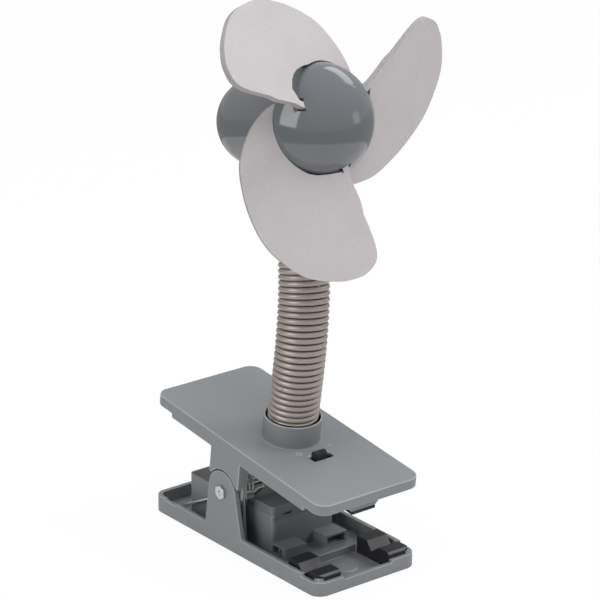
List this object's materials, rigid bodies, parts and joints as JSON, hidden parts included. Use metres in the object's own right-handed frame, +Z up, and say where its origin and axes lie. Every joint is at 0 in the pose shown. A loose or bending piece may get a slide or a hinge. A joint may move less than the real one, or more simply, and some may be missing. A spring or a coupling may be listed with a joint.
{
  "type": "clip fan",
  "caption": "Battery clip fan: sprung clip with rubber grips, bendable coil neck, domed motor head and soft foam blades.",
  "frame": {"origin": "middle of the lower jaw's flat underside", "axes": "+X to the front, out of the jaws; +Y to the far side; +Z up, along the neck"},
  "size_m": [0.1145, 0.1153, 0.2324],
  "materials": {
    "clip_plastic": "satin, fine grain",
    "lid_plastic": "satin, fine grain",
    "cell_sleeve": "printed-free glossy sleeve",
    "contact_metal": "nickel plated",
    "pad_rubber": "matt",
    "bolt_metal": "nickel plated",
    "spring_wire": "bright wire",
    "switch_plastic": "matt black",
    "link_plastic": "matt",
    "coil_coating": "pearly taupe coating",
    "housing_plastic": "gloss",
    "core_plastic": "matt",
    "can_metal": "zinc plated",
    "bell_plastic": "matt black",
    "shaft_metal": "ground steel",
    "armature_metal": "laminated iron and varnished wire",
    "blade_foam": "soft closed-cell foam, fine grain"
  },
  "bodies": {
    "lower_jaw": {"lower_jaw": "clip_plastic", "battery_near": "cell_sleeve", "battery_far": "cell_sleeve", "contact_springs": "contact_metal", "contact_plates": "contact_metal", "grip_pad_near": "pad_rubber", "grip_pad_far": "pad_rubber", "hinge_bolt": "bolt_metal", "hinge_nut": "bolt_metal", "clip_spring": "spring_wire"},
    "battery_lid": {"battery_lid": "lid_plastic"},
    "upper_jaw": {"upper_jaw": "clip_plastic", "tongue_pad": "pad_rubber", "switch_body": "switch_plastic", "switch_screws": "bolt_metal", "neck_anchor": "link_plastic", "neck_nut": "bolt_metal", "neck_coil": "coil_coating"},
    "switch_knob": {"switch_knob": "switch_plastic"},
    "link_1": {"neck_link_1": "link_plastic"},
    "link_2": {"neck_link_2": "link_plastic"},
    "link_3": {"neck_link_3": "link_plastic"},
    "link_4": {"neck_link_4": "link_plastic"},
    "link_5": {"neck_link_5": "link_plastic"},
    "head": {"neck_cap": "link_plastic", "housing_rear": "housing_plastic", "housing_front": "housing_plastic", "housing_screws": "bolt_metal", "motor_can": "can_metal", "motor_end_bell": "bell_plastic"},
    "rotor": {"motor_shaft": "shaft_metal", "armature": "armature_metal", "hub_core": "core_plastic", "hub_dome": "housing_plastic", "blade_1": "blade_foam", "blade_2": "blade_foam", "blade_3": "blade_foam"}
  },
  "joints": [
    {"name": "clip_hinge", "type": "hinge", "parent": "lower_jaw", "child": "upper_jaw", "pos_m": [-0.0074, 0, 0.0246], "axis": [0, -1, 0], "range_deg": [0, 40], "stiffness_Nm_per_rad": 0.6, "springref_deg": -68.75, "deforming": ["clip_spring"]},
    {"name": "battery_lid_slide", "type": "slide", "parent": "lower_jaw", "child": "battery_lid", "axis": [1, 0, 0], "range_m": [0, 0.045]},
    {"name": "switch_slide", "type": "slide", "parent": "upper_jaw", "child": "switch_knob", "axis": [0, 1, 0], "range_m": [0, 0.003]},
    {"name": "neck_bend_1", "type": "hinge", "parent": "upper_jaw", "child": "link_1", "pos_m": [0.00769, 0.0003, 0.0628], "axis": [-0.0048, 0.9991, -0.0425], "range_deg": [-15, 15], "deforming": ["neck_coil"]},
    {"name": "neck_sway_1", "type": "hinge", "parent": "link_1", "child": "link_2", "pos_m": [0.0093, 0.00141, 0.07968], "axis": [0.9993, -0.0034, -0.0363], "range_deg": [-15, 15], "deforming": ["neck_coil"]},
    {"name": "neck_bend_2", "type": "hinge", "parent": "link_2", "child": "link_3", "pos_m": [0.00892, 0.00348, 0.09654], "axis": [0.0108, 0.9906, -0.136], "range_deg": [-15, 15], "deforming": ["neck_coil"]},
    {"name": "neck_sway_2", "type": "hinge", "parent": "link_3", "child": "link_4", "pos_m": [0.00664, 0.00604, 0.11318], "axis": [0.9867, 0.0221, 0.1608], "range_deg": [-15, 15], "deforming": ["neck_coil"]},
    {"name": "neck_bend_3", "type": "hinge", "parent": "link_4", "child": "link_5", "pos_m": [0.00341, 0.00803, 0.12975], "axis": [0.0184, 0.9959, -0.0886], "range_deg": [-15, 15], "deforming": ["neck_coil"]},
    {"name": "neck_sway_3", "type": "hinge", "parent": "link_5", "child": "head", "pos_m": [-0.00026, 0.00911, 0.14631], "axis": [0.975, 0.0086, 0.2221], "range_deg": [-15, 15], "deforming": ["neck_coil"]},
    {"name": "fan_spin", "type": "hinge", "parent": "head", "child": "rotor", "pos_m": [0.01239, 0.00954, 0.1818], "axis": [0.9714, 0.0341, 0.235], "continuous": true}
  ],
  "couplings": [
    {"joint": "neck_bend_2", "follows": "neck_bend_1", "ratio": 1},
    {"joint": "neck_sway_2", "follows": "neck_sway_1", "ratio": 1},
    {"joint": "neck_bend_3", "follows": "neck_bend_1", "ratio": 1},
    {"joint": "neck_sway_3", "follows": "neck_sway_1", "ratio": 1}
  ]
}
